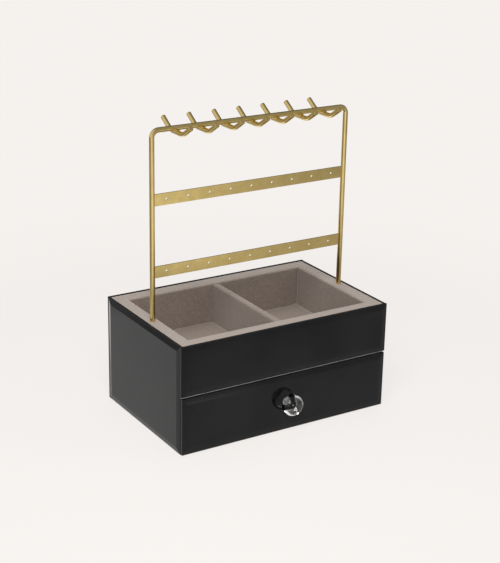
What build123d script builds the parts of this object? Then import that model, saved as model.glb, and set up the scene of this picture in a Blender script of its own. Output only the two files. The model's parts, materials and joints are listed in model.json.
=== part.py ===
from build123d import *
import os
from math import cos, pi, radians, sin

# Jewellery stand with a drawer, in millimetres.
# Origin: centre of the case's underside, on the surface it stands on.
# +X to the right, +Y to the back, +Z up. The drawer opens towards -Y.

# Case, overall
CASE_WIDTH = 202.4
CASE_DEPTH = 132.4
CASE_HEIGHT = 95.3
FELT_THICK = 0.6
FELT_INSET = 2.5

# Glass cladding with a ground bevel all round its outer face
GLASS_THICK = 3.0
BEVEL_WIDTH = 5.0
BEVEL_DROP = 1.1
END_PANEL_INSET = 0.6

# Boards behind the glass
BOARD_THICK = 9.5
SHELF_THICK = 5.0
BASE_THICK = 4.0
SPLIT_HEIGHT = 50.8
SPLIT_GAP = 1.0

# Velvet-covered tray lining, folded over the top edges of the boards
LINING_THICK = 2.0
RIM_WRAP = 1.2
RIM_BELOW_GLASS = 0.4
RIM_INNER_ROUND = 1.4
RIM_OUTER_ROUND = 0.6
PAD_THICK = 2.0
DIVIDER_THICK = 7.0
DIVIDER_BELOW_RIM = 1.6
DIVIDER_ROUND = 2.4

# Wire hoop
WIRE_RADIUS = 2.15
HOOP_HALF_WIDTH = 93.0
HOOP_Y = -3.5
HOOP_TOP = 255.0
HOOP_CORNER = 6.0
SOCKET_DEPTH = 35.0
SOCKET_CLEARANCE = 0.05
WRAP_HOLE_CLEARANCE = 0.3

# Earring bars
BAR_THICK = 1.0
BAR_HEIGHT = 10.0
UPPER_BAR_Z = 198.0
LOWER_BAR_Z = 137.0
EARRING_HOLES = 9
EARRING_PITCH = 20.0
EARRING_HOLE_RADIUS = 0.95

# Double-ended hooks under the top of the hoop
HOOK_COUNT = 7
HOOK_PITCH = 23.5
HOOK_RADIUS = 2.0
HOOK_SEAT = 0.3
HOOK_FLAT_HALF = 10.4
HOOK_REACH = 23.0
HOOK_RISE = 8.0
HOOK_BEND_CUT = 1.5

# Drawer
DRAWER_GLASS_GAP = 0.3
DRAWER_GLASS_SIDE_INSET = 1.3
DRAWER_GLASS_LIFT = 0.5
DRAWER_SIDE_CLEARANCE = 1.0
DRAWER_FLOOR_CLEARANCE = 0.4
DRAWER_BACK_CLEARANCE = 1.0
DRAWER_SIDE_THICK = 5.0
DRAWER_BOTTOM_THICK = 3.0
DRAWER_WALL_TOP = 48.3
DRAWER_FRONT_TOP = 49.8
DRAWER_LINING_THICK = 1.5
DRAWER_WRAP = 1.0
DRAWER_ROUND = 0.8

# Knob on the drawer front
KNOB_Z = 26.8
COLLAR_HEIGHT = 2.0
COLLAR_FOOT_RADIUS = 5.2
COLLAR_FOOT_HEIGHT = 0.8
COLLAR_SEAT_RADIUS = 4.2
CRYSTAL_RADIUS = 9.7
CRYSTAL_HEIGHT = 11.8
CRYSTAL_FACETS = 12
CRYSTAL_MID_RADIUS = 8.1
CRYSTAL_MID_HEIGHT = 2.2
CRYSTAL_GIRDLE_HEIGHT = 4.2
CRYSTAL_CROWN = [(9.7, 6.0), (9.0, 9.4), (6.8, 11.8)]
SCREW_RADIUS = 1.95
SCREW_CLEARANCE_RADIUS = 2.25
SCREW_BORE_RADIUS = 2.0
SCREW_HEAD_RADIUS = 3.7
SCREW_HEAD_HEIGHT = 2.4
SCREW_ENGAGEMENT = 1.8
COUNTERBORE_RADIUS = 4.2
COUNTERBORE_DEPTH = 3.0

# Worked-out planes, as distances from the middle or heights above the table
OUT_X = CASE_WIDTH / 2
OUT_Y = CASE_DEPTH / 2
CLAD_X = OUT_X - GLASS_THICK
CLAD_Y = OUT_Y - GLASS_THICK
ROOM_X = CLAD_X - BOARD_THICK
ROOM_Y = CLAD_Y - BOARD_THICK
TRAY_X = ROOM_X - LINING_THICK
TRAY_Y = ROOM_Y - LINING_THICK
RIM_TOP = CASE_HEIGHT - RIM_BELOW_GLASS
BOARD_TOP = RIM_TOP - RIM_WRAP
BASE_TOP = FELT_THICK + BASE_THICK
FASCIA_GLASS_BOTTOM = SPLIT_HEIGHT + SPLIT_GAP / 2
SHELF_BOTTOM = SPLIT_HEIGHT + SPLIT_GAP
SHELF_TOP = SHELF_BOTTOM + SHELF_THICK
TRAY_FLOOR = SHELF_TOP + PAD_THICK
HOOP_FOOT = BOARD_TOP - SOCKET_DEPTH

DRAWER_X = ROOM_X - DRAWER_SIDE_CLEARANCE
DRAWER_FLOOR = BASE_TOP + DRAWER_FLOOR_CLEARANCE
DRAWER_FRONT_Y = -CLAD_Y - DRAWER_GLASS_GAP
DRAWER_GLASS_Y = DRAWER_FRONT_Y - GLASS_THICK
DRAWER_BOX_FRONT_Y = DRAWER_FRONT_Y + BOARD_THICK
DRAWER_BACK_Y = ROOM_Y - DRAWER_BACK_CLEARANCE
DRAWER_INSIDE_X = DRAWER_X - DRAWER_SIDE_THICK
DRAWER_INSIDE_BACK_Y = DRAWER_BACK_Y - DRAWER_SIDE_THICK
DRAWER_INSIDE_FLOOR = DRAWER_FLOOR + DRAWER_BOTTOM_THICK
DRAWER_RIM_TOP = DRAWER_WALL_TOP + DRAWER_WRAP


def block(low, high):
    """A box from its lowest corner to its highest corner."""
    sizes = [high[i] - low[i] for i in range(3)]
    middle = [(high[i] + low[i]) / 2 for i in range(3)]
    return Pos(*middle) * Box(*sizes)


def bevelled_glass(width, height):
    """A glass panel lying flat, its back at Z=0 and its bevelled face up."""
    full = Rectangle(width, height)
    edge = GLASS_THICK - BEVEL_DROP
    face = Rectangle(width - 2 * BEVEL_WIDTH, height - 2 * BEVEL_WIDTH)
    sections = [full, Pos(0, 0, edge) * full, Pos(0, 0, GLASS_THICK) * face]
    return loft(sections, ruled=True)


def standing_glass(width, bottom, top, back_plane, facing):
    """A glass panel stood upright, its back on a plane and its bevels facing out."""
    panel = bevelled_glass(width, top - bottom)
    middle = (bottom + top) / 2
    places = {
        "front": Pos(0, -back_plane, middle) * Rot(90, 0, 0),
        "back": Pos(0, back_plane, middle) * Rot(-90, 0, 0),
        "left": Pos(-back_plane, 0, middle) * Rot(0, 0, -90) * Rot(90, 0, 0),
        "right": Pos(back_plane, 0, middle) * Rot(0, 0, 90) * Rot(90, 0, 0),
    }
    return places[facing] * panel


def knob_axis(front_plane):
    """Location on the knob's axis, its local +Z pointing out of the drawer front."""
    return Pos(0, front_plane, KNOB_Z) * Rot(90, 0, 0)


# ---------------------------------------------------------------- case

def case_glass():
    """Side panels between the two end panels, which cover their ends."""
    side_length = 2 * CLAD_Y
    end_width = CASE_WIDTH - 2 * END_PANEL_INSET
    return {
        "left_glass": standing_glass(side_length, FELT_THICK, CASE_HEIGHT, CLAD_X, "left"),
        "right_glass": standing_glass(side_length, FELT_THICK, CASE_HEIGHT, CLAD_X, "right"),
        "back_glass": standing_glass(end_width, FELT_THICK, CASE_HEIGHT, CLAD_Y, "back"),
        "fascia_glass": standing_glass(
            end_width, FASCIA_GLASS_BOTTOM, CASE_HEIGHT, CLAD_Y, "front"),
    }


def side_board(side):
    """Full-depth side board with the blind hole for one end of the hoop."""
    inner, outer = sorted((side * ROOM_X, side * CLAD_X))
    board = block((inner, -CLAD_Y, FELT_THICK), (outer, CLAD_Y, BOARD_TOP))
    hole_radius = WIRE_RADIUS + SOCKET_CLEARANCE
    hole = Cylinder(hole_radius, SOCKET_DEPTH, align=(Align.CENTER, Align.CENTER, Align.MAX))
    return board - Pos(side * HOOP_HALF_WIDTH, HOOP_Y, BOARD_TOP) * hole


def case_boards():
    return {
        "left_board": side_board(-1),
        "right_board": side_board(1),
        "back_board": block((-ROOM_X, ROOM_Y, FELT_THICK), (ROOM_X, CLAD_Y, BOARD_TOP)),
        "fascia_board": block((-ROOM_X, -CLAD_Y, SHELF_BOTTOM), (ROOM_X, -ROOM_Y, BOARD_TOP)),
        "shelf_board": block((-ROOM_X, -ROOM_Y, SHELF_BOTTOM), (ROOM_X, ROOM_Y, SHELF_TOP)),
        "base_board": block((-ROOM_X, -CLAD_Y, FELT_THICK), (ROOM_X, ROOM_Y, BASE_TOP)),
        "base_felt": block(
            (FELT_INSET - OUT_X, FELT_INSET - OUT_Y, 0),
            (OUT_X - FELT_INSET, OUT_Y - FELT_INSET, FELT_THICK)),
    }


def mitred_side(half_x, half_y, rim, bottom, top):
    """Prism over one long side (-Y) of a rectangular frame, mitred at both corners."""
    outline = Polyline(
        (-half_x, -half_y),
        (half_x, -half_y),
        (half_x - rim, rim - half_y),
        (rim - half_x, rim - half_y),
        close=True)
    return Pos(0, 0, bottom) * extrude(make_face(outline), top - bottom)


def mitre_prisms(half_x, half_y, rim, bottom, top):
    """The four mitred prisms that split a rectangular frame into its sides."""
    front = mitred_side(half_x, half_y, rim, bottom, top)
    left = Rot(0, 0, -90) * mitred_side(half_y, half_x, rim, bottom, top)
    return {
        "front": front,
        "back": Rot(0, 0, 180) * front,
        "left": left,
        "right": Rot(0, 0, 180) * left,
    }


def top_face(solid):
    return solid.faces().filter_by(Axis.Z).sort_by(Axis.Z)[-1]


def tray_lining():
    """Velvet-covered card walls, folded flat over the boards' top edges."""
    flange = block((-CLAD_X, -CLAD_Y, BOARD_TOP), (CLAD_X, CLAD_Y, RIM_TOP))
    walls = block((-ROOM_X, -ROOM_Y, SHELF_TOP), (ROOM_X, ROOM_Y, RIM_TOP))
    hollow = block((-TRAY_X, -TRAY_Y, SHELF_TOP), (TRAY_X, TRAY_Y, RIM_TOP))
    ring = flange + walls - hollow
    ring = fillet(top_face(ring).inner_wires()[0].edges(), RIM_INNER_ROUND)
    ring = fillet(top_face(ring).outer_wire().edges(), RIM_OUTER_ROUND)
    hole = Cylinder(WIRE_RADIUS + WRAP_HOLE_CLEARANCE, 4 * RIM_WRAP)
    for side in (-1, 1):
        ring -= Pos(side * HOOP_HALF_WIDTH, HOOP_Y, RIM_TOP) * hole
    rim = CLAD_X - TRAY_X
    prisms = mitre_prisms(CLAD_X, CLAD_Y, rim, SHELF_TOP, RIM_TOP)
    return {f"tray_lining_{name}": ring & prism for name, prism in prisms.items()}


def tray_divider():
    """Velvet-covered board across the middle of the tray, its top edge rounded over."""
    half = DIVIDER_THICK / 2
    top = RIM_TOP - DIVIDER_BELOW_RIM
    board = block((-half, -TRAY_Y, SHELF_TOP), (half, TRAY_Y, top))
    long_top = board.edges().filter_by(Axis.Y).group_by(Axis.Z)[-1]
    return fillet(long_top, DIVIDER_ROUND)


def floor_pad(side):
    near, far = sorted((side * DIVIDER_THICK / 2, side * TRAY_X))
    return block((near, -TRAY_Y, SHELF_TOP), (far, TRAY_Y, TRAY_FLOOR))


# ---------------------------------------------------------------- hoop and its bars

def hoop():
    """One wire, bent into a wide upside-down U, its feet in the side boards."""
    path = FilletPolyline(
        (-HOOP_HALF_WIDTH, HOOP_Y, HOOP_FOOT),
        (-HOOP_HALF_WIDTH, HOOP_Y, HOOP_TOP),
        (HOOP_HALF_WIDTH, HOOP_Y, HOOP_TOP),
        (HOOP_HALF_WIDTH, HOOP_Y, HOOP_FOOT),
        radius=HOOP_CORNER)
    return sweep(Plane(path @ 0, z_dir=path % 0) * Circle(WIRE_RADIUS), path)


def earring_bar(height):
    """Flat strip with a row of earring holes, its ends coped to the hoop's posts."""
    strip = Pos(0, HOOP_Y, height) * Box(2 * HOOP_HALF_WIDTH, BAR_THICK, BAR_HEIGHT)
    hole = Rot(90, 0, 0) * Cylinder(EARRING_HOLE_RADIUS, 2 * BAR_THICK)
    for i in range(EARRING_HOLES):
        offset = (i - (EARRING_HOLES - 1) / 2) * EARRING_PITCH
        strip -= Pos(offset, HOOP_Y, height) * hole
    post = Cylinder(WIRE_RADIUS, 2 * BAR_HEIGHT)
    for side in (-1, 1):
        strip -= Pos(side * HOOP_HALF_WIDTH, HOOP_Y, height) * post
    return strip


def hook():
    """Boat-shaped wire hook across X=0, each bend drawn as two shallow mitres.

    A saddle is cut into its top where it is welded under the hoop.
    """
    flat_z = HOOP_TOP - WIRE_RADIUS - HOOK_RADIUS + HOOK_SEAT
    corner = Vector(0, HOOK_FLAT_HALF, 0)
    tip = Vector(0, HOOK_REACH, HOOK_RISE)
    before = corner - Vector(0, HOOK_BEND_CUT, 0)
    after = corner + (tip - corner).normalized() * HOOK_BEND_CUT
    half = [before, after, tip]
    other = [Vector(0, -point.Y, point.Z) for point in reversed(half)]
    path = Pos(0, HOOP_Y, flat_z) * Polyline(*other, *half)
    start = Plane(path @ 0, z_dir=path % 0)
    wire = sweep(start * Circle(HOOK_RADIUS), path, transition=Transition.RIGHT)
    rail = Pos(0, HOOP_Y, HOOP_TOP) * Rot(0, 90, 0) * Cylinder(WIRE_RADIUS, 4 * HOOK_RADIUS)
    return wire - rail


def hooks():
    first = -(HOOK_COUNT - 1) / 2 * HOOK_PITCH
    pattern = hook()
    return {f"hook_{i + 1}": Pos(first + i * HOOK_PITCH, 0, 0) * pattern
            for i in range(HOOK_COUNT)}


# ---------------------------------------------------------------- drawer

def drawer_front_glass():
    half = OUT_X - DRAWER_GLASS_SIDE_INSET
    bottom = FELT_THICK + DRAWER_GLASS_LIFT
    top = SPLIT_HEIGHT - SPLIT_GAP / 2
    panel = Pos(0, DRAWER_FRONT_Y, (bottom + top) / 2) * Rot(90, 0, 0) * bevelled_glass(
        2 * half, top - bottom)
    return panel - knob_axis(DRAWER_FRONT_Y) * Cylinder(SCREW_CLEARANCE_RADIUS, 4 * GLASS_THICK)


def drawer_front_board():
    """Board behind the drawer's glass, bored for the knob's screw and its sunk head."""
    board = block((-DRAWER_X, DRAWER_FRONT_Y, DRAWER_FLOOR),
                  (DRAWER_X, DRAWER_BOX_FRONT_Y, DRAWER_FRONT_TOP))
    board -= knob_axis(DRAWER_FRONT_Y) * Cylinder(SCREW_CLEARANCE_RADIUS, 4 * BOARD_THICK)
    sunk = Cylinder(COUNTERBORE_RADIUS, 2 * COUNTERBORE_DEPTH)
    return board - knob_axis(DRAWER_BOX_FRONT_Y) * sunk


def drawer_side(side):
    inner, outer = sorted((side * DRAWER_INSIDE_X, side * DRAWER_X))
    return block((inner, DRAWER_BOX_FRONT_Y, DRAWER_FLOOR),
                 (outer, DRAWER_INSIDE_BACK_Y, DRAWER_WALL_TOP))


def drawer_box():
    return {
        "drawer_front_board": drawer_front_board(),
        "drawer_left_side": drawer_side(-1),
        "drawer_right_side": drawer_side(1),
        "drawer_back": block((-DRAWER_X, DRAWER_INSIDE_BACK_Y, DRAWER_FLOOR),
                             (DRAWER_X, DRAWER_BACK_Y, DRAWER_WALL_TOP)),
        "drawer_bottom": block((-DRAWER_INSIDE_X, DRAWER_BOX_FRONT_Y, DRAWER_FLOOR),
                               (DRAWER_INSIDE_X, DRAWER_INSIDE_BACK_Y, DRAWER_INSIDE_FLOOR)),
    }


def drawer_lining_side(side):
    """Velvet wall of one drawer side, folded over the side's top edge."""
    inner_x = DRAWER_INSIDE_X - DRAWER_LINING_THICK
    wall = block((inner_x, DRAWER_BOX_FRONT_Y, DRAWER_INSIDE_FLOOR),
                 (DRAWER_INSIDE_X, DRAWER_INSIDE_BACK_Y, DRAWER_RIM_TOP))
    wrap = block((inner_x, DRAWER_BOX_FRONT_Y, DRAWER_WALL_TOP),
                 (DRAWER_X, DRAWER_INSIDE_BACK_Y, DRAWER_RIM_TOP))
    lining = wall + wrap
    top_edges = lining.edges().filter_by(Axis.Y).group_by(Axis.Z)[-1]
    lining = fillet(top_edges, DRAWER_ROUND)
    return lining if side > 0 else mirror(lining, Plane.YZ)


def drawer_lining_back():
    inner_y = DRAWER_INSIDE_BACK_Y - DRAWER_LINING_THICK
    half = DRAWER_INSIDE_X - DRAWER_LINING_THICK
    wall = block((-half, inner_y, DRAWER_INSIDE_FLOOR),
                 (half, DRAWER_INSIDE_BACK_Y, DRAWER_RIM_TOP))
    wrap = block((-DRAWER_X, DRAWER_INSIDE_BACK_Y, DRAWER_WALL_TOP),
                 (DRAWER_X, DRAWER_BACK_Y, DRAWER_RIM_TOP))
    return wall + wrap


def drawer_lining():
    half = DRAWER_INSIDE_X - DRAWER_LINING_THICK
    front_y = DRAWER_BOX_FRONT_Y + DRAWER_LINING_THICK
    back_y = DRAWER_INSIDE_BACK_Y - DRAWER_LINING_THICK
    return {
        "drawer_lining_left": drawer_lining_side(-1),
        "drawer_lining_right": drawer_lining_side(1),
        "drawer_lining_back": drawer_lining_back(),
        "drawer_lining_front": block((-half, DRAWER_BOX_FRONT_Y, DRAWER_INSIDE_FLOOR),
                                     (half, front_y, DRAWER_RIM_TOP)),
        "drawer_floor_pad": block((-half, front_y, DRAWER_INSIDE_FLOOR),
                                  (half, back_y, DRAWER_INSIDE_FLOOR + PAD_THICK)),
    }


# ---------------------------------------------------------------- knob

def knob_collar():
    """Stepped metal seat between the glass and the crystal, bored for the screw."""
    outline = Polyline(
        (SCREW_BORE_RADIUS, 0),
        (COLLAR_FOOT_RADIUS, 0),
        (COLLAR_FOOT_RADIUS, COLLAR_FOOT_HEIGHT),
        (COLLAR_SEAT_RADIUS, COLLAR_FOOT_HEIGHT),
        (COLLAR_SEAT_RADIUS, COLLAR_HEIGHT),
        (SCREW_BORE_RADIUS, COLLAR_HEIGHT),
        close=True)
    turned = revolve(Plane.XZ * make_face(outline), Axis.Z)
    return knob_axis(DRAWER_GLASS_Y) * turned


def ring_points(radius, height, count, phase):
    """Evenly spaced points on a circle about Z."""
    return [(radius * cos(2 * pi * (i + phase) / count),
             radius * sin(2 * pi * (i + phase) / count),
             height) for i in range(count)]


def knob_crystal():
    """Turned glass button with a flat table, its back cut into two rows of facets."""
    outline = make_face(Polyline(
        (0, 0), (CRYSTAL_RADIUS, 0), *CRYSTAL_CROWN, (0, CRYSTAL_HEIGHT), close=True))
    blank = revolve(Plane.XZ * outline, Axis.Z)
    girdle = CRYSTAL_RADIUS / cos(radians(180 / (2 * CRYSTAL_FACETS)))
    cutter = ConvexPolyhedron(
        ring_points(COLLAR_SEAT_RADIUS, 0, CRYSTAL_FACETS, 0)
        + ring_points(CRYSTAL_MID_RADIUS, CRYSTAL_MID_HEIGHT, CRYSTAL_FACETS, 0.5)
        + ring_points(girdle, CRYSTAL_GIRDLE_HEIGHT, 2 * CRYSTAL_FACETS, 0)
        + ring_points(girdle, CRYSTAL_HEIGHT + 1, 2 * CRYSTAL_FACETS, 0))
    return knob_axis(DRAWER_GLASS_Y - COLLAR_HEIGHT) * (blank & cutter)


def knob_screw():
    """Cheese-head screw from inside the drawer front into the collar."""
    head_seat_y = DRAWER_BOX_FRONT_Y - COUNTERBORE_DEPTH
    length = head_seat_y - DRAWER_GLASS_Y + SCREW_ENGAGEMENT
    shank = Cylinder(SCREW_RADIUS, length, align=(Align.CENTER, Align.CENTER, Align.MIN))
    head = Cylinder(SCREW_HEAD_RADIUS, SCREW_HEAD_HEIGHT,
                    align=(Align.CENTER, Align.CENTER, Align.MAX))
    return knob_axis(head_seat_y) * (shank + head)


# ---------------------------------------------------------------- assembly

def all_parts():
    parts = {}
    parts.update(case_glass())
    parts.update(case_boards())
    parts.update(tray_lining())
    parts["tray_divider"] = tray_divider()
    parts["left_floor_pad"] = floor_pad(-1)
    parts["right_floor_pad"] = floor_pad(1)
    parts["hoop"] = hoop()
    parts["upper_bar"] = earring_bar(UPPER_BAR_Z)
    parts["lower_bar"] = earring_bar(LOWER_BAR_Z)
    parts.update(hooks())
    parts["drawer_front_glass"] = drawer_front_glass()
    parts.update(drawer_box())
    parts.update(drawer_lining())
    parts["knob_collar"] = knob_collar()
    parts["knob_crystal"] = knob_crystal()
    parts["knob_screw"] = knob_screw()
    return parts


os.makedirs("parts", exist_ok=True)
for node, solid in all_parts().items():
    export_step(solid, f"parts/{node}.step")
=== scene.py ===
import json
import math

import bmesh
import bpy
from mathutils import Matrix, Quaternion, Vector, noise

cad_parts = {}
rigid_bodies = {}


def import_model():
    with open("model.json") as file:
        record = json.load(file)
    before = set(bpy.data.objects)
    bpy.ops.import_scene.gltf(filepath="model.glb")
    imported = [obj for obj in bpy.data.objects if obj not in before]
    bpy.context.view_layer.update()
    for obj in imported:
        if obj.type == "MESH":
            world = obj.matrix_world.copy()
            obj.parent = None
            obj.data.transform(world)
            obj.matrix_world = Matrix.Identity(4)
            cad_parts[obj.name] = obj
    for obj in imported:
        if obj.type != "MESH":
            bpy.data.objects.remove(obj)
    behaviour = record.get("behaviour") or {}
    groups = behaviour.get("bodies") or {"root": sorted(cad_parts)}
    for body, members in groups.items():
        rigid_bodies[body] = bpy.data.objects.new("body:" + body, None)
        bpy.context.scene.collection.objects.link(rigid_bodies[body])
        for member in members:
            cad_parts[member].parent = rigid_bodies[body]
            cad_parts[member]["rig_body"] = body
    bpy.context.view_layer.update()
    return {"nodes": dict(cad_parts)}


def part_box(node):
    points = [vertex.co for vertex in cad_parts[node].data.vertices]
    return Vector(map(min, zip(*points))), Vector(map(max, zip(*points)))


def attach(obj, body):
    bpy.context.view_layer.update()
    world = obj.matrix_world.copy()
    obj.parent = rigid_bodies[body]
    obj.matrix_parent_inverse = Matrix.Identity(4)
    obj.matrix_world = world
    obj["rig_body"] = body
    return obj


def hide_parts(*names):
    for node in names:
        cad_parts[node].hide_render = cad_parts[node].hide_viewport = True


# Jewellery stand with a drawer: its finishes, soft parts, wire parts, floor, lamps and camera.
# The frame is in metres: +X right, +Y back, +Z up. Lengths below are in metres where no comment
# says otherwise, and noise scales are per metre.

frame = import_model()
NODES = frame["nodes"]
MM = 0.001

# Wire parts
WIRE_RADIUS = 2.15 * MM
WIRE_SIDES = 32
WIRE_END_ROUND = 0.5 * MM
WIRE_CRISP = 60.0
HOOP_BEND = 6.0 * MM
BEND_STEPS = 10
HOOK_COUNT = 7
HOOK_RADIUS = 2.0 * MM
HOOK_SIDES = 28
HOOK_BEND = 14.0 * MM
HOOK_FLAT_HALF = 10.4 * MM
HOOK_END_ROUND = 0.35 * MM
WELD_HALF = Vector((2.4, 2.7, 0.9)) * MM
WELD_RINGS = 10

# Velvet parts
PILE_STEP = 2.0 * MM
CLOTH_CRISP = 50.0
PAD_CRISP = 60.0
ROUND_STEPS = 8
RIPPLE_SIZE = 14.0 * MM
RIPPLE_DEPTH = 0.16 * MM
FINE_RIPPLE_TIMES = 3
FINE_RIPPLE_SHARE = 0.35
TRAY_WALL = 2.0 * MM
TRAY_WRAP = 1.2 * MM
RIM_OUTER_ROUND = 0.7 * MM
RIM_INNER_ROUND = 2.2 * MM
DIVIDER_ROUND = 1.8 * MM
PAD_ROUND = 0.6 * MM
PAD_FOLD_HEIGHT = 1.1 * MM
PAD_FOLD_REACH = 9.0 * MM
DRAWER_WALL = 1.5 * MM
DRAWER_WRAP = 1.0 * MM
DRAWER_RIM_ROUND = 0.8 * MM
WRAP_LEDGE = 0.01 * MM

# Edge rounding on the rigid parts
GLASS_ARRIS = 0.12 * MM
GROUND_ARRIS = 0.5 * MM
BOARD_ARRIS = 0.35 * MM
FELT_ARRIS = 0.3 * MM
BAR_ARRIS = 0.05 * MM
ARRIS_ANGLE = math.radians(30)
WELD_DISTANCE = 0.002 * MM

# Back panel
BEVEL_WIDTH = 5.0 * MM
BEVEL_DROP = 1.1 * MM
BACK_END_TRIM = 0.5 * MM

# Crystal, collar and screw
TURNED_SEGMENTS = 96
TURNED_CRISP = 35.0
CRYSTAL_FACETS = 24
CRYSTAL_FLANK_FACETS = 32
CRYSTAL_SEAT = 4.4 * MM
CRYSTAL_BACK = ((6.5 * MM, 1.4 * MM), (8.3 * MM, 2.9 * MM))
CRYSTAL_GIRDLE = 4.3 * MM
CRYSTAL_SHOULDER = 4.8 * MM
CRYSTAL_TABLE = 4.0 * MM
CRYSTAL_DOME_STEPS = 16
CRYSTAL_CRISP = 12.0
CRYSTAL_CUT_FACING = 0.9
CRYSTAL_SEAT_FACING = 0.98
CUTTER_SPARE = 1.0 * MM
COLLAR_SEAT = 4.2 * MM
# Steps of the collar's outline in millimetres (outward, up), from its rim and from its seat
COLLAR_FOOT = ((-0.15, 0.0), (0.0, 0.15), (0.0, 0.5), (-0.3, 0.7))
COLLAR_NECK = ((0.2, 0.9), (0.0, 1.2))
SCREW_BORE = 2.0 * MM
SCREW_RADIUS = 1.95 * MM
SCREW_HEAD_HEIGHT = 2.4 * MM
SCREW_HEAD_ROUND = 0.5 * MM
THREAD_PITCH = 0.7 * MM
THREAD_DEPTH = 0.35 * MM
THREAD_CRISP = 30.0

# Camera: azimuth from straight in front, elevation, roll, distance, aim, sensor width in
# millimetres and focal length in pixels
CAMERA_AZIMUTH = math.radians(-32.188)
CAMERA_ELEVATION = math.radians(20.07)
CAMERA_ROLL = math.radians(1.131)
CAMERA_DISTANCE = 1.188322
CAMERA_AIM = Vector((2.741, 0.0, 111.608)) * MM
CAMERA_SENSOR = 36.0
CAMERA_FOCAL_PIXELS = 1393.609
PHOTO_HEIGHT_PIXELS = 563
CAMERA_CLIP_START = 0.05
CAMERA_CLIP_END = 40.0

# Background
PALE = (0.9131, 0.8796, 0.8550, 1.0)
FLOOR_RADIUS = 9.0
FLOOR_RINGS = (0.35, 0.8, 2.0, 5.0, FLOOR_RADIUS)
FLOOR_SPOKES = 48


# ---------------------------------------------------------------- shader helpers

NOISE_DETAIL = 3.0
BUMP_DETAIL = 2.0
TONE_START = 0.35
TONE_END = 0.65
ROUGH_START = 0.3
ROUGH_END = 0.7
MIX_COLOUR_A = 6
MIX_COLOUR_B = 7
MIX_COLOUR_OUT = 2


def add_node(tree, kind, values=None, **settings):
    """A node with some of its properties and the values of its input sockets set."""
    made = tree.nodes.new(kind)
    for key, value in settings.items():
        setattr(made, key, value)
    for key, value in (values or {}).items():
        made.inputs[key].default_value = value
    return made


def new_tree(name):
    material = bpy.data.materials.new(name)
    material.use_nodes = True
    material.node_tree.nodes.clear()
    return material, material.node_tree


def noise_value(tree, scale, detail=NOISE_DETAIL):
    """Noise over the object's own coordinates."""
    place_at = add_node(tree, "ShaderNodeTexCoord")
    made = add_node(tree, "ShaderNodeTexNoise", {"Scale": scale, "Detail": detail})
    tree.links.new(place_at.outputs["Object"], made.inputs["Vector"])
    return made.outputs["Fac"]


def colour_between(tree, source, low, high, start=0.0, end=1.0):
    ramp = add_node(tree, "ShaderNodeValToRGB")
    ramp.color_ramp.elements[0].position = start
    ramp.color_ramp.elements[0].color = (*low, 1.0)
    ramp.color_ramp.elements[1].position = end
    ramp.color_ramp.elements[1].color = (*high, 1.0)
    tree.links.new(source, ramp.inputs["Fac"])
    return ramp.outputs["Color"]


def map_range(tree, source, from_min, from_max, to_min, to_max, smooth=False):
    made = add_node(tree, "ShaderNodeMapRange", {
        "From Min": from_min, "From Max": from_max, "To Min": to_min, "To Max": to_max})
    made.interpolation_type = "SMOOTHSTEP" if smooth else "LINEAR"
    tree.links.new(source, made.inputs["Value"])
    return made.outputs["Result"]


def math_node(tree, operation, first, second):
    made = add_node(tree, "ShaderNodeMath", operation=operation)
    for socket, value in zip(made.inputs, (first, second)):
        if isinstance(value, float):
            socket.default_value = value
        else:
            tree.links.new(value, socket)
    return made.outputs["Value"]


def mix_shaders(tree, share, first, second):
    made = add_node(tree, "ShaderNodeMixShader")
    tree.links.new(share, made.inputs[0])
    tree.links.new(first, made.inputs[1])
    tree.links.new(second, made.inputs[2])
    return made.outputs["Shader"]


def surface(name, tones, rough, tone_scale, rough_scale, bump=None, **values):
    """A finish whose tone and roughness both wander, with a fine relief where bump is given."""
    material, tree = new_tree(name)
    body = add_node(tree, "ShaderNodeBsdfPrincipled", values)
    out = add_node(tree, "ShaderNodeOutputMaterial")
    tone = colour_between(tree, noise_value(tree, tone_scale), *tones, TONE_START, TONE_END)
    tree.links.new(tone, body.inputs["Base Color"])
    roughness = map_range(tree, noise_value(tree, rough_scale), ROUGH_START, ROUGH_END, *rough)
    tree.links.new(roughness, body.inputs["Roughness"])
    if bump:
        scale, depth = bump
        relief = add_node(tree, "ShaderNodeBump", {"Strength": 1.0, "Distance": depth})
        tree.links.new(noise_value(tree, scale, BUMP_DETAIL), relief.inputs["Height"])
        tree.links.new(relief.outputs["Normal"], body.inputs["Normal"])
    tree.links.new(body.outputs["BSDF"], out.inputs["Surface"])
    return material


# ---------------------------------------------------------------- finishes

GLASS_INDEX = 1.5
CRYSTAL_INDEX = 1.54
GROUND_SPECULAR = 0.2
# Painted light: the ground edges are coloured pale where they face down, in place of light from
# the floor.
GROUND_PAINTED_LIGHT_START = -0.2
GROUND_PAINTED_LIGHT_FULL = -0.6
GROUND_DARK = (0.01, 0.01, 0.01)
GROUND_PAINTED_LIGHT = (0.60, 0.60, 0.60)
GRIT_SCALE = 600.0
GRIT_TONES = (0.8, 1.2)
GRIT_ROUGH = (0.3, 0.5)
BLACK = (0.0, 0.0, 0.0)
# Painted light added to the velvet's colour along the top of the tray's rim.
RIM_PAINTED_LIGHT = (0.083, 0.077, 0.071)
RIM_PAINTED_LIGHT_FULL_BELOW = 0.2 * MM
FACET_RELIEF = (500.0, 0.15 * MM)


def black_glass():
    return surface(
        "black_glass", tones=((0.0035, 0.0035, 0.0038), (0.006, 0.006, 0.0062)),
        rough=(0.012, 0.04), tone_scale=25.0, rough_scale=60.0, IOR=GLASS_INDEX)


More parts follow.
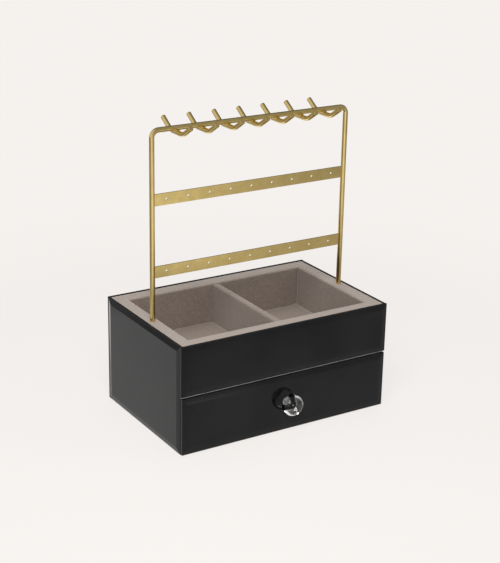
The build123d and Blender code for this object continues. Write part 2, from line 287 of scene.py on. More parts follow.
def ground_glass_painted_light():
    """Matt ground edge, with painted light: its colour turns pale where it faces down, in place
    of light from the floor.
    """
    material, tree = new_tree("ground_glass_painted_light")
    body = add_node(tree, "ShaderNodeBsdfPrincipled", {
        "IOR": GLASS_INDEX, "Specular IOR Level": GROUND_SPECULAR})
    out = add_node(tree, "ShaderNodeOutputMaterial")
    way = add_node(tree, "ShaderNodeNewGeometry")
    split = add_node(tree, "ShaderNodeSeparateXYZ")
    tree.links.new(way.outputs["Normal"], split.inputs["Vector"])
    # Painted light: share of the pale colour, growing as the edge faces further down.
    down = map_range(tree, split.outputs["Z"], GROUND_PAINTED_LIGHT_START, GROUND_PAINTED_LIGHT_FULL, 0.0, 1.0)
    grit = noise_value(tree, GRIT_SCALE)
    uneven = map_range(tree, grit, ROUGH_START, ROUGH_END, *GRIT_TONES)
    tone = math_node(tree, "MULTIPLY", down, uneven)
    shade = colour_between(tree, tone, GROUND_DARK, GROUND_PAINTED_LIGHT)
    tree.links.new(shade, body.inputs["Base Color"])
    roughness = map_range(tree, grit, ROUGH_START, ROUGH_END, *GRIT_ROUGH)
    tree.links.new(roughness, body.inputs["Roughness"])
    tree.links.new(body.outputs["BSDF"], out.inputs["Surface"])
    return material


def black_paper():
    return surface(
        "black_paper", tones=((0.014, 0.0135, 0.013), (0.022, 0.021, 0.020)),
        rough=(0.55, 0.75), tone_scale=300.0, rough_scale=500.0, bump=(1800.0, 0.03 * MM))


def black_felt():
    return surface(
        "black_felt", tones=((0.018, 0.018, 0.019), (0.035, 0.034, 0.034)),
        rough=(0.9, 1.0), tone_scale=900.0, rough_scale=500.0, bump=(2600.0, 0.12 * MM))


def grey_velvet_painted_rim_light():
    """Short pile, with painted light on the rim at the top of the tray: its colour is lightened
    there.
    """
    sheen = {"Sheen Weight": 0.5, "Sheen Roughness": 0.4, "Sheen Tint": (0.90, 0.86, 0.81, 1.0)}
    material = surface(
        "grey_velvet_painted_rim_light", tones=((0.150, 0.118, 0.097), (0.190, 0.152, 0.127)),
        rough=(0.9, 1.0), tone_scale=650.0, rough_scale=300.0, bump=(2400.0, 0.10 * MM), **sheen)
    tree = material.node_tree
    body = next(node for node in tree.nodes if node.type == "BSDF_PRINCIPLED")
    pile = body.inputs["Base Color"].links[0].from_socket
    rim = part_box("tray_lining_front")[1].z
    spot = add_node(tree, "ShaderNodeNewGeometry")
    split = add_node(tree, "ShaderNodeSeparateXYZ")
    tree.links.new(spot.outputs["Position"], split.inputs["Vector"])
    # Painted light: from below the rim's rounding up to its top, the base colour is lightened, in
    # place of light falling on the rim.
    rim_painted_light_share = map_range(tree, split.outputs["Z"], rim - RIM_INNER_ROUND, rim - RIM_PAINTED_LIGHT_FULL_BELOW,
                          0.0, 1.0, smooth=True)
    rim_painted_light_mix = add_node(tree, "ShaderNodeMix", data_type="RGBA", blend_type="SCREEN")
    rim_painted_light_mix.inputs["Factor"].default_value = 1.0
    tree.links.new(pile, rim_painted_light_mix.inputs[MIX_COLOUR_A])
    tree.links.new(colour_between(tree, rim_painted_light_share, BLACK, RIM_PAINTED_LIGHT), rim_painted_light_mix.inputs[MIX_COLOUR_B])
    tree.links.new(rim_painted_light_mix.outputs[MIX_COLOUR_OUT], body.inputs["Base Color"])
    return material


def satin_gold():
    return surface(
        "satin_gold", tones=((0.77, 0.58, 0.22), (0.85, 0.65, 0.26)),
        rough=(0.15, 0.22), tone_scale=120.0, rough_scale=200.0, Metallic=1.0)


def chrome():
    return surface(
        "chrome", tones=((0.30, 0.30, 0.31), (0.60, 0.60, 0.60)),
        rough=(0.12, 0.25), tone_scale=900.0, rough_scale=900.0, Metallic=1.0)


def seat_film():
    """Silvered film, worn in places, between the crystal and its metal seat."""
    return surface(
        "seat_film", tones=((0.02, 0.02, 0.02), (0.80, 0.80, 0.80)),
        rough=(0.2, 0.4), tone_scale=750.0, rough_scale=900.0, bump=(750.0, 0.10 * MM),
        Metallic=1.0)


def zinc():
    return surface(
        "zinc", tones=((0.42, 0.42, 0.41), (0.58, 0.58, 0.57)),
        rough=(0.28, 0.42), tone_scale=500.0, rough_scale=900.0, bump=(2000.0, 0.01 * MM),
        Metallic=1.0)


def cut_crystal(name, bump=None):
    values = {"Transmission Weight": 1.0, "IOR": CRYSTAL_INDEX}
    return surface(
        name, tones=((0.97, 0.97, 0.97), (1.0, 1.0, 1.0)),
        rough=(0.0, 0.01), tone_scale=50.0, rough_scale=80.0, bump=bump, **values)


# ---------------------------------------------------------------- mesh helpers

def mesh_object(name, points, faces, smooth=True):
    mesh = bpy.data.meshes.new(name)
    mesh.from_pydata([tuple(point) for point in points], [], faces)
    mesh.validate()
    for polygon in mesh.polygons:
        polygon.use_smooth = smooth
    made = bpy.data.objects.new(name, mesh)
    bpy.context.scene.collection.objects.link(made)
    return made


def bridge(rings, closed_ends=True):
    """Faces between equal rings of points that follow each other in one point list."""
    size = len(rings[0])
    faces = []
    for i in range(len(rings) - 1):
        for j in range(size):
            k = (j + 1) % size
            faces.append((i * size + j, i * size + k, (i + 1) * size + k, (i + 1) * size + j))
    if closed_ends:
        faces.append(tuple(reversed(range(size))))
        faces.append(tuple((len(rings) - 1) * size + j for j in range(size)))
    return faces


def ringed(name, rings, smooth=True):
    """A closed piece through equal rings of points."""
    points = [point for ring_points in rings for point in ring_points]
    return mesh_object(name, points, bridge(rings), smooth)


def ring(radius, height, count, phase=0.0):
    """Points of a regular ring about the Z axis, turned by a share of one step."""
    return [Vector((radius * math.cos(2 * math.pi * (i + phase) / count),
                    radius * math.sin(2 * math.pi * (i + phase) / count), height))
            for i in range(count)]


def crisp(made, degrees):
    """Smooth shading that breaks at edges sharper than an angle."""
    made.data.set_sharp_from_angle(angle=math.radians(degrees))
    return made


def place(made, node, material):
    """Puts a new piece in the place of a CAD node, on its body, with its finish."""
    made.data.materials.append(material)
    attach(made, NODES[node]["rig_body"])
    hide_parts(node)
    return made


def rounded_path(corners, radius):
    """Centreline through corners, each inner corner turned on an arc."""
    points = [corners[0]]
    for before, corner, after in zip(corners, corners[1:], corners[2:]):
        back = (before - corner).normalized()
        ahead = (after - corner).normalized()
        half = back.angle(ahead) / 2
        centre = corner + (back + ahead).normalized() * (radius / math.sin(half))
        start = corner + back * (radius / math.tan(half)) - centre
        end = corner + ahead * (radius / math.tan(half)) - centre
        axis = start.cross(end).normalized()
        turn = start.angle(end)
        for i in range(BEND_STEPS + 1):
            points.append(centre + Matrix.Rotation(turn * i / BEND_STEPS, 3, axis) @ start)
    points.append(corners[-1])
    return points


def rounded_end(end, inward, radius, end_round):
    """Centres and radii along a wire's rounded end, from its tip inward."""
    stations = []
    for i in range(ROUND_STEPS + 1):
        turn = math.pi / 2 * i / ROUND_STEPS
        inset = end_round * (1 - math.cos(turn))
        stations.append((end + inward * inset, radius - end_round * (1 - math.sin(turn))))
    return stations


def wire(name, path, plane_normal, radius, sides, end_round):
    """A round wire along a flat path, with softened ends."""
    along = [(b - a).normalized() for a, b in zip(path, path[1:])]
    stations = [(centre, along[0], reach)
                for centre, reach in rounded_end(path[0], along[0], radius, end_round)]
    for i in range(1, len(path) - 1):
        stations.append((path[i], (along[i - 1] + along[i]).normalized(), radius))
    stations += [(centre, along[-1], reach)
                 for centre, reach in reversed(
                     rounded_end(path[-1], -along[-1], radius, end_round))]
    rings = []
    for centre, direction, reach in stations:
        across = direction.cross(plane_normal)
        rings.append([
            centre + (plane_normal * math.cos(2 * math.pi * j / sides)
                      + across * math.sin(2 * math.pi * j / sides)) * reach
            for j in range(sides)])
    return crisp(ringed(name, rings), WIRE_CRISP)


def arc(across, up, radius, start, end):
    """Points on an arc of a profile about a centre, its angles in quarter turns."""
    turns = [math.pi / 2 * (start + (end - start) * i / ROUND_STEPS)
             for i in range(ROUND_STEPS + 1)]
    return [(across + radius * math.cos(turn), up + radius * math.sin(turn)) for turn in turns]


def rising_corner(near, top, radius):
    """Rounded corner of a profile from its near side on to its top."""
    return arc(near + radius, top - radius, radius, 2, 1)


def falling_corner(far, top, radius):
    """Rounded corner of a profile from its top down its far side."""
    return arc(far - radius, top - radius, radius, 1, 0)


def split_long(loop, step):
    """The loop with points added so that no side is much longer than a step."""
    points = []
    for a, b in zip(loop, loop[1:] + loop[:1]):
        length = math.hypot(b[0] - a[0], b[1] - a[1])
        count = max(1, round(length / step))
        for i in range(count):
            points.append((a[0] + (b[0] - a[0]) * i / count, a[1] + (b[1] - a[1]) * i / count))
    return points


def run_profile(name, loop, near, far, placing, is_seen):
    """A soft piece: a closed profile (across, up) run along X between near and far.

    near and far give the ends for a distance across; is_seen tells the padded side.
    """
    loop = split_long(loop, PILE_STEP)
    count = max(2, round((far(loop[0][0]) - near(loop[0][0])) / PILE_STEP))
    rings = []
    for i in range(count + 1):
        share = i / count
        rings.append([placing @ Vector((near(s) + (far(s) - near(s)) * share, s, z))
                      for s, z in loop])
    made = ringed(name, rings)
    seen = [is_seen(s, z) for s, z in loop] * (count + 1)
    ripple(made, seen)
    return crisp(made, CLOTH_CRISP)


def ripple(made, seen):
    """Slight unevenness of cloth glued over card, on the points marked as seen."""
    mesh = made.data
    mesh.update()
    normals = [vertex.normal.copy() for vertex in mesh.vertices]
    for vertex, normal, moves in zip(mesh.vertices, normals, seen):
        if moves:
            depth = noise.noise(vertex.co / RIPPLE_SIZE)
            fine = noise.noise(vertex.co * (FINE_RIPPLE_TIMES / RIPPLE_SIZE))
            depth += FINE_RIPPLE_SHARE * fine
            vertex.co -= normal * (RIPPLE_DEPTH * (0.5 + 0.5 * depth))


def turned(name, profile, segments, placing):
    """A piece turned on a lathe: a profile of (radius, height) about its own Z."""
    rings = []
    for i in range(segments):
        turn = 2 * math.pi * i / segments
        rings.append([placing @ Vector((r * math.cos(turn), r * math.sin(turn), z))
                      for r, z in profile])
    points = [point for ring_points in rings for point in ring_points]
    faces = bridge(rings + [rings[0]], closed_ends=False)
    faces = [tuple(index % len(points) for index in face) for face in faces]
    return mesh_object(name, points, faces)


# ---------------------------------------------------------------- wire parts

def build_hoop(gold):
    low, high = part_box("hoop")
    half = high.x - WIRE_RADIUS
    top = high.z - WIRE_RADIUS
    y = (low.y + high.y) / 2
    corners = [Vector((-half, y, low.z)), Vector((-half, y, top)),
               Vector((half, y, top)), Vector((half, y, low.z))]
    path = rounded_path(corners, HOOP_BEND)
    made = wire("hoop_wire", path, Vector((0, 1, 0)), WIRE_RADIUS, WIRE_SIDES, WIRE_END_ROUND)
    place(made, "hoop", gold)


def weld_bead(name, centre):
    """A flattened bead of filler metal."""
    rings = []
    for i in range(1, WELD_RINGS):
        lift = math.pi * i / WELD_RINGS
        rings.append([centre + Vector((
            WELD_HALF.x * math.sin(lift) * math.cos(math.pi * j / WELD_RINGS),
            WELD_HALF.y * math.sin(lift) * math.sin(math.pi * j / WELD_RINGS),
            WELD_HALF.z * math.cos(lift))) for j in range(2 * WELD_RINGS)])
    return ringed(name, rings)


def hook_path(low, high):
    """Centreline of a hook: a flat middle, and two arms that rise to its tips."""
    x = (low.x + high.x) / 2
    y = (low.y + high.y) / 2
    half_depth = (high.y - low.y) / 2
    flat_z = low.z + HOOK_RADIUS
    slope = math.atan2(high.z - flat_z, half_depth - HOOK_FLAT_HALF)
    tip_z = high.z - HOOK_RADIUS * math.cos(slope)
    reach = half_depth - HOOK_RADIUS * math.sin(slope)
    corners = [Vector((x, y - reach, tip_z)), Vector((x, y - HOOK_FLAT_HALF, flat_z)),
               Vector((x, y + HOOK_FLAT_HALF, flat_z)), Vector((x, y + reach, tip_z))]
    return rounded_path(corners, HOOK_BEND)


def build_hooks(gold):
    under_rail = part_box("hoop")[1].z - 2 * WIRE_RADIUS
    for i in range(1, HOOK_COUNT + 1):
        node = f"hook_{i}"
        low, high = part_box(node)
        made = wire(f"hook_wire_{i}", hook_path(low, high), Vector((1, 0, 0)), HOOK_RADIUS,
                    HOOK_SIDES, HOOK_END_ROUND)
        place(made, node, gold)
        joint = Vector(((low.x + high.x) / 2, (low.y + high.y) / 2, under_rail))
        bead = weld_bead(f"hook_weld_{i}", joint)
        bead.data.materials.append(gold)
        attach(bead, "case")


# ---------------------------------------------------------------- velvet parts

def side_placing(degrees, distance):
    """Turns a profile run along X on to one side, its zero line a distance from the middle."""
    turn = Matrix.Rotation(math.radians(degrees), 4, "Z")
    return turn @ Matrix.Translation((0, -distance, 0))


def build_tray_lining(velvet):
    """Four mitred sides: a flat rim over the boards and a wall down into the tray."""
    low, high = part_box("tray_lining_front")
    half_x = high.x
    half_y = -low.y
    rim = high.y - low.y
    under = high.z - TRAY_WRAP
    loop = [(0, under)]
    loop += rising_corner(0, high.z, RIM_OUTER_ROUND)
    loop += falling_corner(rim, high.z, RIM_INNER_ROUND)
    loop += [(rim, low.z), (rim - TRAY_WALL, low.z), (rim - TRAY_WALL, under)]
    sides = {
        "front": (half_x, half_y, 0),
        "back": (half_x, half_y, 180),
        "left": (half_y, half_x, -90),
        "right": (half_y, half_x, 90),
    }
    for name, (reach, distance, turn) in sides.items():
        made = run_profile(
            f"velvet_{name}", loop,
            lambda s, reach=reach: s - reach,
            lambda s, reach=reach: reach - s,
            side_placing(turn, distance),
            lambda s, z: z > under and s > RIM_OUTER_ROUND or s > rim - 0.5 * TRAY_WALL)
        place(made, f"tray_lining_{name}", velvet)


def build_divider(velvet):
    low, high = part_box("tray_divider")
    loop = [(low.x, low.z)]
    loop += rising_corner(low.x, high.z, DIVIDER_ROUND)
    loop += falling_corner(high.x, high.z, DIVIDER_ROUND)
    loop += [(high.x, low.z)]
    placing = Matrix.Rotation(math.radians(90), 4, "Z") @ Matrix.Scale(-1, 4, (0, 1, 0))
    made = run_profile("velvet_divider", loop, lambda s: low.y, lambda s: high.y, placing,
                       lambda s, z: z > low.z)
    place(made, "tray_divider", velvet)


def slab_height(x, y, low, high, fold):
    """Height of a pad's top: rolled over at its edges, uneven, and raised in a folded corner."""
    edge = min(x - low.x, high.x - x, y - low.y, high.y - y)
    short = max(0.0, PAD_ROUND - edge) / PAD_ROUND
    z = high.z - PAD_ROUND * (1 - math.sqrt(1 - short * short))
    z -= RIPPLE_DEPTH * (0.5 + 0.5 * noise.noise(Vector((x, y, 0)) / RIPPLE_SIZE))
    if fold:
        away = math.hypot(high.x - x, high.y - y) / PAD_FOLD_REACH
        z += PAD_FOLD_HEIGHT * max(0.0, 1 - away) ** 2
    return z


def slab(name, low, high, fold):
    """A padded floor: a flat slab with a soft top."""
    columns = round((high.x - low.x) / PILE_STEP)
    rows = round((high.y - low.y) / PILE_STEP)
    points = []
    for j in range(rows + 1):
        for i in range(columns + 1):
            x = low.x + (high.x - low.x) * i / columns
            y = low.y + (high.y - low.y) * j / rows
            points.append(Vector((x, y, slab_height(x, y, low, high, fold))))
    size = columns + 1
    faces = [(j * size + i, j * size + i + 1, (j + 1) * size + i + 1, (j + 1) * size + i)
             for j in range(rows) for i in range(columns)]
    rim = list(range(size))
    rim += [(j + 1) * size - 1 for j in range(1, rows + 1)]
    rim += [rows * size + i for i in reversed(range(columns))]
    rim += [j * size for j in reversed(range(1, rows))]
    base = len(points)
    points += [Vector((points[i].x, points[i].y, low.z)) for i in rim]
    for k, index in enumerate(rim):
        after = (k + 1) % len(rim)
        faces.append((rim[after], index, base + k, base + after))
    faces.append(tuple(base + k for k in reversed(range(len(rim)))))
    return crisp(mesh_object(name, points, faces), PAD_CRISP)


def build_pads(velvet):
    for node, fold in (("left_floor_pad", False), ("right_floor_pad", True),
                       ("drawer_floor_pad", False)):
        low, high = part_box(node)
        place(slab(f"velvet_{node}", low, high, fold), node, velvet)


def build_drawer_side_linings(velvet):
    """Velvet down the inside of each side wall, turned over its top."""
    for side, node in ((-1, "drawer_lining_left"), (1, "drawer_lining_right")):
        low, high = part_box(node)
        depth = high.x - low.x
        under = high.z - DRAWER_WRAP
        loop = [(0, under)]
        loop += rising_corner(0, high.z, DRAWER_RIM_ROUND)
        loop += falling_corner(depth, high.z, DRAWER_RIM_ROUND)
        loop += [(depth, low.z), (depth - DRAWER_WALL, low.z), (depth - DRAWER_WALL, under)]
        outer = max(abs(low.x), abs(high.x))
        ends = (low.y, high.y) if side > 0 else (-high.y, -low.y)
        made = run_profile(f"velvet_{node}", loop, lambda s, e=ends: e[0],
                           lambda s, e=ends: e[1], side_placing(90 * side, outer),
                           lambda s, z, d=depth: s > d - 0.5 * DRAWER_WALL)
        place(made, node, velvet)


def build_drawer_back_lining(velvet):
    """Velvet down the back wall between the side linings, its top strip wider than its wall."""
    side_low, side_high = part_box("drawer_lining_right")
    low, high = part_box("drawer_lining_back")
    inside = min(abs(side_low.x), abs(side_high.x))
    depth = high.y - low.y
    under = side_high.z - DRAWER_WRAP
    strip = depth - DRAWER_WALL
    wall = strip + WRAP_LEDGE
    loop = [(0, under)]
    loop += rising_corner(0, side_high.z, DRAWER_RIM_ROUND)
    loop += [(strip, side_high.z), (wall, side_high.z)]
    loop += falling_corner(depth, side_high.z, DRAWER_RIM_ROUND)
    loop += [(depth, low.z), (wall, low.z), (wall, under), (strip, under)]
    made = run_profile("velvet_drawer_lining_back", loop,
                       lambda s: -inside if s > strip else low.x,
                       lambda s: inside if s > strip else high.x,
                       side_placing(180, high.y), lambda s, z: s > depth - 0.5 * DRAWER_WALL)
    place(made, "drawer_lining_back", velvet)


def build_drawer_front_lining(velvet):
    low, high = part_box("drawer_lining_front")
    loop = [(low.y, low.z), (low.y, high.z)]
    loop += falling_corner(high.y, high.z, DRAWER_RIM_ROUND)
    loop += [(high.y, low.z)]
    made = run_profile("velvet_drawer_lining_front", loop, lambda s: low.x, lambda s: high.x,
                       Matrix.Identity(4), lambda s, z: s > high.y - 0.5 * DRAWER_WALL)
    place(made, "drawer_lining_front", velvet)


# ---------------------------------------------------------------- knob

def knob_placing(seat_y):
    """Own Z along the knob's axis, out of the drawer front."""
    low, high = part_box("knob_crystal")
    return Matrix.Translation(((low.x + high.x) / 2, seat_y, (low.z + high.z) / 2)) @ (
        Matrix.Rotation(math.radians(90), 4, "X"))


def hull(name, points):
    """The convex piece around some points."""
    made = mesh_object(name, points, [], smooth=False)
    grown = bmesh.new()
    grown.from_mesh(made.data)
    bmesh.ops.convex_hull(grown, input=grown.verts)
    grown.to_mesh(made.data)
    grown.free()
    return made


def crystal_blank(radius, height):
    """Round blank with a domed shoulder and a flat table."""
    rings = [ring(radius, 0, TURNED_SEGMENTS)]
    for i in range(CRYSTAL_DOME_STEPS + 1):
        turn = math.pi / 2 * i / CRYSTAL_DOME_STEPS
        rings.append(ring(
            CRYSTAL_TABLE + (radius - CRYSTAL_TABLE) * math.cos(turn),
            CRYSTAL_SHOULDER + (height - CRYSTAL_SHOULDER) * math.sin(turn),
            TURNED_SEGMENTS))
    return ringed("crystal_knob", rings)


def crystal_cutter(radius, height):
    """Faceted form that cuts the blank: seat, two staggered rings of facets, and the flank."""
    cuts = ring(CRYSTAL_SEAT, 0.0, CRYSTAL_FACETS)
    for (reach, up), phase in zip(CRYSTAL_BACK, (0.5, 0.0)):
        cuts += ring(reach, up, CRYSTAL_FACETS, phase)
    cuts += ring(radius, CRYSTAL_GIRDLE, CRYSTAL_FLANK_FACETS)
    cuts += ring(radius, height + CUTTER_SPARE, CRYSTAL_FLANK_FACETS, 0.5)
    return hull("crystal_cutter", cuts)


def build_crystal(crystal, facets, film):
    """The cut crystal, with a relief on its inner facets and a film on its seat."""
    low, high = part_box("knob_crystal")
    radius = (high.x - low.x) / 2
    height = high.y - low.y
    blank = crystal_blank(radius, height)
    cutter = crystal_cutter(radius, height)
    cut = blank.modifiers.new("cut", "BOOLEAN")
    cut.operation = "INTERSECT"
    cut.solver = "EXACT"
    cut.object = cutter
    seen = blank.evaluated_get(bpy.context.evaluated_depsgraph_get())
    cut_mesh = bpy.data.meshes.new_from_object(seen)
    blank.modifiers.clear()
    blank.data = cut_mesh
    bpy.data.objects.remove(cutter)
    blank.data.transform(knob_placing(high.y))
    blank.data.materials.clear()
    crisp(blank, CRYSTAL_CRISP)
    place(blank, "knob_crystal", crystal)
    blank.data.materials.append(facets)
    blank.data.materials.append(film)
    for polygon in blank.data.polygons:
        facing = polygon.normal.y
        polygon.material_index = int(facing > CRYSTAL_CUT_FACING) + int(
            facing > CRYSTAL_SEAT_FACING)


def build_collar(bright):
    """Stepped metal seat of the crystal, bored for the screw."""
    low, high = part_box("knob_collar")
    height = high.y - low.y
    radius = (high.x - low.x) / 2
    profile = [(SCREW_BORE, 0)]
    profile += [(radius + out * MM, up * MM) for out, up in COLLAR_FOOT]
    profile += [(COLLAR_SEAT + out * MM, up * MM) for out, up in COLLAR_NECK]
    profile += [(COLLAR_SEAT, height), (SCREW_BORE, height)]
    made = turned("knob_seat", profile, TURNED_SEGMENTS, knob_placing(high.y))
    place(crisp(made, TURNED_CRISP), "knob_collar", bright)


def build_screw(zinc_finish):
    low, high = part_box("knob_screw")
    head = (high.x - low.x) / 2
    length = high.y - low.y
    root = SCREW_RADIUS - THREAD_DEPTH
    profile = [(0.0, 0.0), (head - SCREW_HEAD_ROUND, 0), (head, SCREW_HEAD_ROUND),
               (head, SCREW_HEAD_HEIGHT), (SCREW_RADIUS, SCREW_HEAD_HEIGHT)]
    z = SCREW_HEAD_HEIGHT + 2 * THREAD_PITCH
    while z < length - 1.5 * THREAD_PITCH:
        profile += [(SCREW_RADIUS, z), (root, z + THREAD_PITCH / 2)]
        z += THREAD_PITCH
    profile += [(root, length), (0.0, length)]
    made = turned("machine_screw", profile, TURNED_SEGMENTS // 2, knob_placing(high.y))
    place(crisp(made, THREAD_CRISP), "knob_screw", zinc_finish)


# ---------------------------------------------------------------- rigid parts

GROUND_PANELS = ("fascia_glass", "left_glass", "right_glass")
DRAWER_BOARDS = ("drawer_left_side", "drawer_right_side", "drawer_back", "drawer_bottom")


def soften_edges(part, width):
    """A small arris along the sharp edges."""
    edge = part.modifiers.new("arris", "BEVEL")
    edge.width = width
    edge.segments = 2
    edge.limit_method = "ANGLE"
    edge.angle_limit = ARRIS_ANGLE
    return edge


def dress(node, material, arris, edge_material=None):
    """A frame part with its finish, its joined edges softened by a small arris."""
    part = NODES[node]
    part.data.materials.clear()
    part.data.materials.append(material)
    for polygon in part.data.polygons:
        polygon.material_index = 0
        polygon.use_smooth = False
    joined = part.modifiers.new("joined", "WELD")
    joined.merge_threshold = WELD_DISTANCE
    edge = soften_edges(part, arris)
    if edge_material:
        part.data.materials.append(edge_material)
        edge.material = 1


def build_back_glass(node, glass):
    """Bevelled panel whose ends finish flush with the side panels' thin edges."""
    low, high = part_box(node)
    half = high.x - BACK_END_TRIM
    faces_at = ((low.y, 0.0), (high.y - BEVEL_DROP, 0.0), (high.y, BEVEL_WIDTH))
    rings = []
    for y, inset in faces_at:
        side = half - inset
        bottom = low.z + inset
        top = high.z - inset
        rings.append([Vector((-side, y, bottom)), Vector((-side, y, top)),
                      Vector((side, y, top)), Vector((side, y, bottom))])
    made = ringed("bevelled_back_glass", rings, smooth=False)
    soften_edges(made, GLASS_ARRIS)
    place(made, node, glass)


def dress_rigid_parts(glass, ground, paper, felt, gold):
    for node in NODES:
        if node == "back_glass":
            build_back_glass(node, glass)
        elif node in GROUND_PANELS:
            dress(node, glass, GROUND_ARRIS, ground)
        elif node.endswith("_glass"):
            dress(node, glass, GLASS_ARRIS)
        elif node == "base_felt":
            dress(node, felt, FELT_ARRIS)
        elif node.endswith("_bar"):
            dress(node, gold, BAR_ARRIS)
        elif node.endswith("_board") or node in DRAWER_BOARDS:
            dress(node, paper, BOARD_ARRIS)


# ---------------------------------------------------------------- floor

FLOOR_DIFFUSE = (0.80, 0.78, 0.76, 1.0)
SHADOW_SHARE = 0.16
SHADOW_DIFFUSE = (0.60, 0.578, 0.562, 1.0)
SHADOW_NEAR = 0.22
SHADOW_FAR = 0.60
MIRROR_TINT = (1.0, 0.985, 0.97, 1.0)
NEAR_REACH = 0.30
FAR_REACH = 0.38
HORIZON_REACH = 0.76
HORIZON_FULL = 1.00
FRONT_NEAR_Y = -0.10
FRONT_FAR_Y = -0.28
FRONT_FALL = 0.62
# Each level is given at an angle in degrees about the object: 0 in front, -90 at the left.
NEAR_LEVELS = ((-158, 1.25), (-143, 0.60), (-60, 0.60), (-53, 0.375), (60, 0.365), (110, 0.60),
               (165, 0.90))
FAR_LEVELS = ((-165, 0.60), (-137, 0.17), (-90, 0.33), (-60, 0.55), (-32, 1.12), (0, 0.76),
              (22, 0.84), (34, 0.48), (60, 0.36), (110, 0.50), (165, 0.60))
HORIZON_LEVELS = ((-137, 0.30), (-90, 0.33), (-60, 0.55), (-32, 1.15), (-5, 0.66), (12, 0.42),
                  (26, 0.20), (45, 0.20), (65, 0.28), (165, 0.50))


def level_around(tree, share, levels):
    """Brightness at an angle about the object, from the levels given at some angles."""
    ramp = add_node(tree, "ShaderNodeValToRGB")
    stops = ramp.color_ramp.elements
    while len(stops) < len(levels):
        stops.new(0.5)
    for stop, (degrees, level) in zip(stops, levels):
        stop.position = 0.5 + degrees / 360
        stop.color = (level, level, level, 1.0)
    tree.links.new(share, ramp.inputs["Fac"])
    return ramp.outputs["Color"]


def mix_levels(tree, share, first, second):
    made = add_node(tree, "ShaderNodeMix", data_type="FLOAT")
    tree.links.new(share, made.inputs["Factor"])
    tree.links.new(first, made.inputs["A"])
    tree.links.new(second, made.inputs["B"])
    return made.outputs["Result"]


def floor_mirror_level(tree, x, y, distance):
    """How bright the floor looks in shiny surfaces, by angle about the object and distance."""
    front = math_node(tree, "MULTIPLY", y, -1.0)
    angle = math_node(tree, "ARCTAN2", x, front)
    share = map_range(tree, angle, -math.pi, math.pi, 0.0, 1.0)
    fall = map_range(tree, y, FRONT_FAR_Y, FRONT_NEAR_Y, FRONT_FALL, 1.0)
    near = math_node(tree, "MULTIPLY", level_around(tree, share, NEAR_LEVELS), fall)
    far = map_range(tree, distance, NEAR_REACH, FAR_REACH, 0.0, 1.0, smooth=True)
    level = mix_levels(tree, far, near, level_around(tree, share, FAR_LEVELS))
    beyond = map_range(tree, distance, HORIZON_REACH, HORIZON_FULL, 0.0, 1.0, smooth=True)
    return mix_levels(tree, beyond, level, level_around(tree, share, HORIZON_LEVELS))


def floor_material():
    """Plain pale floor with a faint shadow for the camera, and its own levels in mirrors."""
    material, tree = new_tree("floor")
    out = add_node(tree, "ShaderNodeOutputMaterial")
    path = add_node(tree, "ShaderNodeLightPath")
    spot = add_node(tree, "ShaderNodeNewGeometry")
    split = add_node(tree, "ShaderNodeSeparateXYZ")
    tree.links.new(spot.outputs["Position"], split.inputs["Vector"])
    distance = add_node(tree, "ShaderNodeVectorMath", operation="LENGTH")
    tree.links.new(spot.outputs["Position"], distance.inputs[0])
    plain = add_node(tree, "ShaderNodeEmission", {"Color": PALE, "Strength": 1.0})
    matt = add_node(tree, "ShaderNodeBsdfDiffuse", {"Color": SHADOW_DIFFUSE})
    share = map_range(tree, distance.outputs["Value"], SHADOW_NEAR, SHADOW_FAR,
                      SHADOW_SHARE, 0.0, smooth=True)
    seen = mix_shaders(tree, share, plain.outputs["Emission"], matt.outputs["BSDF"])
    bounce = add_node(tree, "ShaderNodeBsdfDiffuse", {"Color": FLOOR_DIFFUSE})
    mirror = add_node(tree, "ShaderNodeEmission", {"Color": MIRROR_TINT})
    level = floor_mirror_level(
        tree, split.outputs["X"], split.outputs["Y"], distance.outputs["Value"])
    tree.links.new(level, mirror.inputs["Strength"])
    unseen = mix_shaders(tree, path.outputs["Is Glossy Ray"], bounce.outputs["BSDF"],
                         mirror.outputs["Emission"])
    whole = mix_shaders(tree, path.outputs["Is Camera Ray"], unseen, seen)
    tree.links.new(whole, out.inputs["Surface"])
    material.cycles.emission_sampling = "NONE"
    return material


def build_floor():
    """A round floor: a fan of triangles inside rings of quads."""
    points = [Vector((0, 0, 0))]
    for radius in FLOOR_RINGS:
        points += ring(radius, 0, FLOOR_SPOKES)
    faces = [(0, 1 + i, 1 + (i + 1) % FLOOR_SPOKES) for i in range(FLOOR_SPOKES)]
    for k in range(len(FLOOR_RINGS) - 1):
        inner = 1 + k * FLOOR_SPOKES
        outer = inner + FLOOR_SPOKES
        for i in range(FLOOR_SPOKES):
            j = (i + 1) % FLOOR_SPOKES
            faces.append((inner + i, outer + i, outer + j, inner + j))
    made = mesh_object("floor", points, faces)
    made.data.materials.append(floor_material())


# ---------------------------------------------------------------- world, lamps, camera

AMBIENT = (0.30, 0.30, 0.31, 1.0)
WHITE = (1.0, 1.0, 1.0, 1.0)
HORIZON_LEVEL = 0.40
UPPER_LEVEL = 0.32
HORIZON_SINE = 0.05
UPPER_SINE = 0.36
# Soft patches in the mirrored sky: direction, cosines where a patch starts and is full, change
WINDOW = ((-0.95, 0.0, 0.3), 0.2, 0.85, 0.42)
SCREEN = ((0.50, 0.80, 0.34), 0.6, 0.9, -0.24)
LAMP_AIM = Vector((0.0, 0.0, 0.1))
# Lamps: name, place, width, height, power in watts
LAMPS = (
    ("key", (-0.48, -0.6, 0.84), 0.56, 0.56, 16.0),
    ("fill", (1.3, -0.9, 1.1), 1.0, 1.0, 6.5),
    ("top", (0.1, 0.5, 2.0), 1.4, 1.0, 12.0),
)


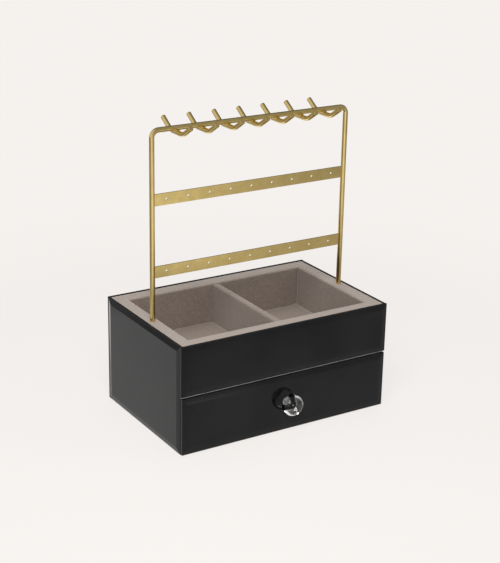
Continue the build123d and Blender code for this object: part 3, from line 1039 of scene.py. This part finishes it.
def sky_mirror_level(tree, way):
    """How bright the sky looks in shiny surfaces, by its height and with two soft patches."""
    split = add_node(tree, "ShaderNodeSeparateXYZ")
    tree.links.new(way, split.inputs["Vector"])
    height = math_node(tree, "MULTIPLY", split.outputs["Z"], -1.0)
    level = map_range(tree, height, HORIZON_SINE, UPPER_SINE, HORIZON_LEVEL, UPPER_LEVEL,
                      smooth=True)
    for toward, start, full, change in (WINDOW, SCREEN):
        facing = add_node(tree, "ShaderNodeVectorMath", {1: toward}, operation="DOT_PRODUCT")
        tree.links.new(way, facing.inputs[0])
        patch = map_range(tree, facing.outputs["Value"], -start, -full, 0.0, change,
                          smooth=True)
        level = math_node(tree, "ADD", level, patch)
    return level


def build_world():
    """Pale backdrop for the camera and through glass, a studio in mirrors, even ambient light."""
    world = bpy.data.worlds.new("studio")
    bpy.context.scene.world = world
    world.use_nodes = True
    world.cycles.sampling_method = "NONE"
    tree = world.node_tree
    tree.nodes.clear()
    out = add_node(tree, "ShaderNodeOutputWorld")
    path = add_node(tree, "ShaderNodeLightPath")
    way = add_node(tree, "ShaderNodeNewGeometry")
    seen = add_node(tree, "ShaderNodeBackground", {"Color": PALE, "Strength": 1.0})
    mirror = add_node(tree, "ShaderNodeBackground", {"Color": WHITE})
    ambient = add_node(tree, "ShaderNodeBackground", {"Color": AMBIENT, "Strength": 1.0})
    level = sky_mirror_level(tree, way.outputs["Incoming"])
    tree.links.new(level, mirror.inputs["Strength"])
    unseen = mix_shaders(tree, path.outputs["Is Glossy Ray"], ambient.outputs["Background"],
                         mirror.outputs["Background"])
    clear = math_node(tree, "MAXIMUM", path.outputs["Is Camera Ray"],
                      path.outputs["Is Transmission Ray"])
    whole = mix_shaders(tree, clear, unseen, seen.outputs["Background"])
    tree.links.new(whole, out.inputs["Surface"])


def build_lamp(name, place_at, width, height, power):
    light = bpy.data.lights.new(name, "AREA")
    light.shape = "RECTANGLE"
    light.size = width
    light.size_y = height
    light.energy = power
    made = bpy.data.objects.new(name, light)
    made.location = place_at
    made.rotation_mode = "QUATERNION"
    made.rotation_quaternion = (LAMP_AIM - Vector(place_at)).to_track_quat("-Z", "Y")
    made.visible_camera = False
    made.visible_glossy = False
    bpy.context.scene.collection.objects.link(made)


def build_camera():
    data = bpy.data.cameras.new("camera")
    data.sensor_width = CAMERA_SENSOR
    data.lens = CAMERA_FOCAL_PIXELS / PHOTO_HEIGHT_PIXELS * CAMERA_SENSOR
    data.clip_start = CAMERA_CLIP_START
    data.clip_end = CAMERA_CLIP_END
    made = bpy.data.objects.new("camera", data)
    bpy.context.scene.collection.objects.link(made)
    back = Vector((math.sin(CAMERA_AZIMUTH) * math.cos(CAMERA_ELEVATION),
                   -math.cos(CAMERA_AZIMUTH) * math.cos(CAMERA_ELEVATION),
                   math.sin(CAMERA_ELEVATION)))
    made.location = CAMERA_AIM + back * CAMERA_DISTANCE
    made.rotation_mode = "QUATERNION"
    made.rotation_quaternion = (-back).to_track_quat("-Z", "Y") @ Quaternion(
        (0, 0, 1), CAMERA_ROLL)
    bpy.context.scene.camera = made


# ---------------------------------------------------------------- scene

gold = satin_gold()
velvet = grey_velvet_painted_rim_light()
dress_rigid_parts(black_glass(), ground_glass_painted_light(), black_paper(), black_felt(), gold)
build_hoop(gold)
build_hooks(gold)
build_tray_lining(velvet)
build_divider(velvet)
build_pads(velvet)
build_drawer_side_linings(velvet)
build_drawer_back_lining(velvet)
build_drawer_front_lining(velvet)
build_crystal(cut_crystal("cut_crystal"), cut_crystal("cut_crystal_facets", FACET_RELIEF),
              seat_film())
build_collar(chrome())
build_screw(zinc())
build_floor()
build_world()
for lamp in LAMPS:
    build_lamp(*lamp)
build_camera()
bpy.context.scene.view_settings.view_transform = "Standard"
